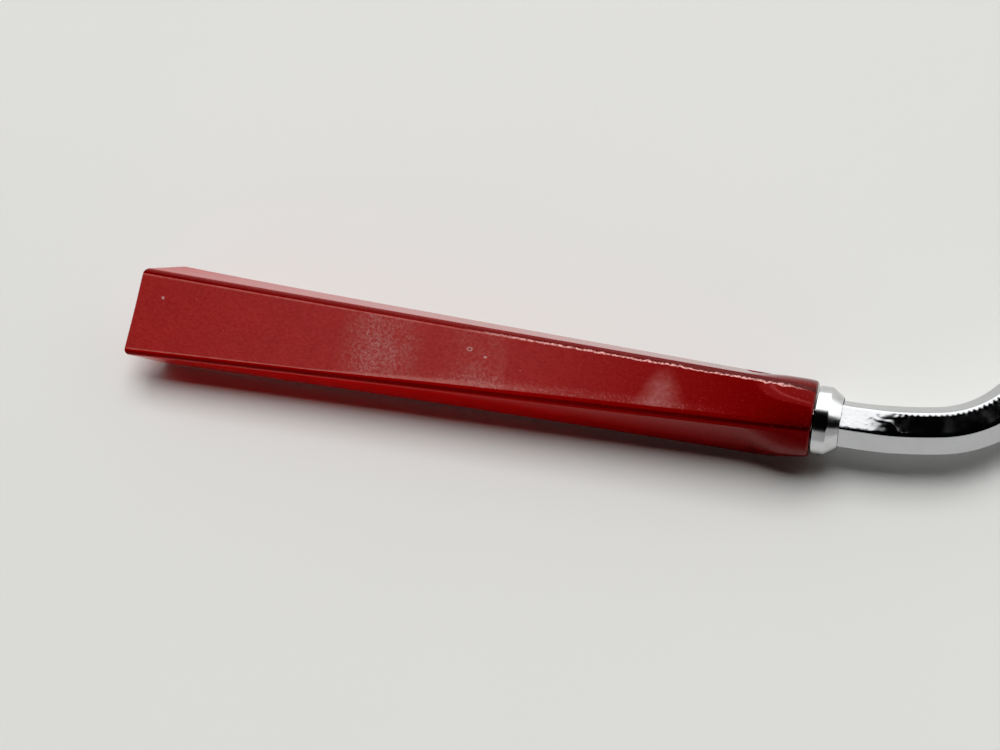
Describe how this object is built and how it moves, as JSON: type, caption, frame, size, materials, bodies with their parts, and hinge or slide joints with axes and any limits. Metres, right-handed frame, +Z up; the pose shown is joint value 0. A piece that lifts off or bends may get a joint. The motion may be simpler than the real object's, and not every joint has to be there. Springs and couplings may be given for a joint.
{
  "type": "grill spatula",
  "caption": "Long grill spatula with a red flat-faced handle, chrome ferrule, sideways-cranked hexagon bar and slotted, riveted steel blade.",
  "frame": {"origin": "middle of the bounding box, at the height of the blade's flat underside, which is the surface the tool lies on", "axes": "+X from the handle's butt to the blade's cutting edge, +Y the side the neck is cranked towards, +Z up from the blade"},
  "size_m": [0.41, 0.0892, 0.0183],
  "materials": {
    "red_lacquer": "glossy deep red, hazed with fine wear on the flats",
    "chrome_ferrule": "bright chrome over fine turning marks",
    "chrome_bar": "bright chrome with slightly wavy flats",
    "brass": "turned brass",
    "stainless_steel": "satin, brushed along the blade",
    "rivet_steel": "polished heads"
  },
  "bodies": {
    "root": {"handle": "red_lacquer", "tang_insert": "brass", "ferrule": "chrome_ferrule", "neck_bar": "chrome_bar", "blade": "stainless_steel", "rivet_1": "rivet_steel", "rivet_2": "rivet_steel", "rivet_3": "rivet_steel"}
  },
  "joints": []
}
